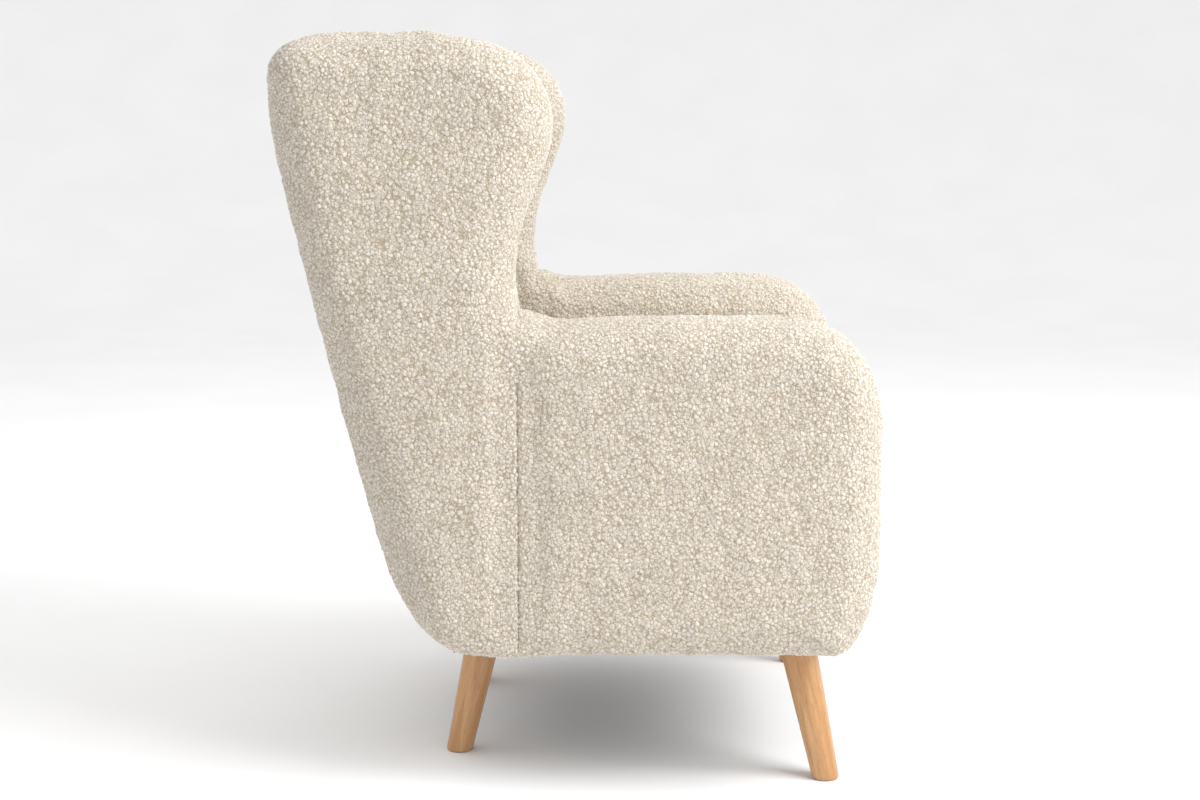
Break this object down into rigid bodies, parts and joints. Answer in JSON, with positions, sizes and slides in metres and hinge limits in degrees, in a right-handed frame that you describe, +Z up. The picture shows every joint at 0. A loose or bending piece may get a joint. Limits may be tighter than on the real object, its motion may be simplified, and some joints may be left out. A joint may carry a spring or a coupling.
{
  "type": "upholstered wing armchair",
  "caption": "Single-seat wing armchair in looped fabric with curved wings, rounded arms, a loose seat cushion and tapered splayed wooden legs.",
  "frame": {"origin": "on the floor under the middle of the overall box", "axes": "+Z up, the front of the seat towards -Y, +X towards the sitter's left"},
  "size_m": [0.75, 0.805, 1],
  "materials": {
    "boucle": "looped cream boucle, matt",
    "zip_nylon": "coil zip on a woven tape",
    "deck_felt": "plain platform cloth over felt",
    "dust_cloth": "black non-woven cloth",
    "oak": "clear satin lacquer on light hardwood",
    "pine": "sawn softwood",
    "plywood": "sawn plywood",
    "jute": "woven jute webbing",
    "steel": "zinc-plated"
  },
  "bodies": {
    "chair": {"arm_pad_left": "boucle", "arm_pad_right": "boucle", "wing_pad_left": "boucle", "wing_pad_right": "boucle", "side_rail_left": "pine", "side_rail_right": "pine", "corner_block_left": "pine", "corner_block_right": "pine", "arm_post_left": "pine", "arm_post_right": "pine", "arm_rail_left": "pine", "arm_rail_right": "pine", "back_post_left": "pine", "back_post_right": "pine", "wing_frame_left": "plywood", "wing_frame_right": "plywood", "front_leg_left": "oak", "front_leg_right": "oak", "front_leg_plate_left": "steel", "front_leg_plate_right": "steel", "front_leg_bolt_left": "steel", "front_leg_bolt_right": "steel", "rear_leg_left": "oak", "rear_leg_right": "oak", "rear_leg_plate_left": "steel", "rear_leg_plate_right": "steel", "rear_leg_bolt_left": "steel", "rear_leg_bolt_right": "steel", "inside_back_pad": "boucle", "outside_back_panel": "boucle", "front_border": "boucle", "deck_pad": "deck_felt", "dust_cover": "dust_cloth", "front_rail": "pine", "rear_rail": "pine", "rear_leg_rail": "pine", "top_rail": "pine", "lumbar_rail": "pine", "seat_spring_1": "steel", "seat_spring_2": "steel", "seat_spring_3": "steel", "seat_spring_4": "steel", "seat_spring_5": "steel", "back_strap_1": "jute", "back_strap_2": "jute", "back_strap_3": "jute", "back_strap_4": "jute"},
    "cushion": {"seat_cushion": "boucle", "cushion_zip": "zip_nylon"}
  },
  "joints": [
    {"name": "cushion_lift", "type": "slide", "parent": "chair", "child": "cushion", "axis": [0, 0, 1], "range_m": [0, 0.3]}
  ]
}
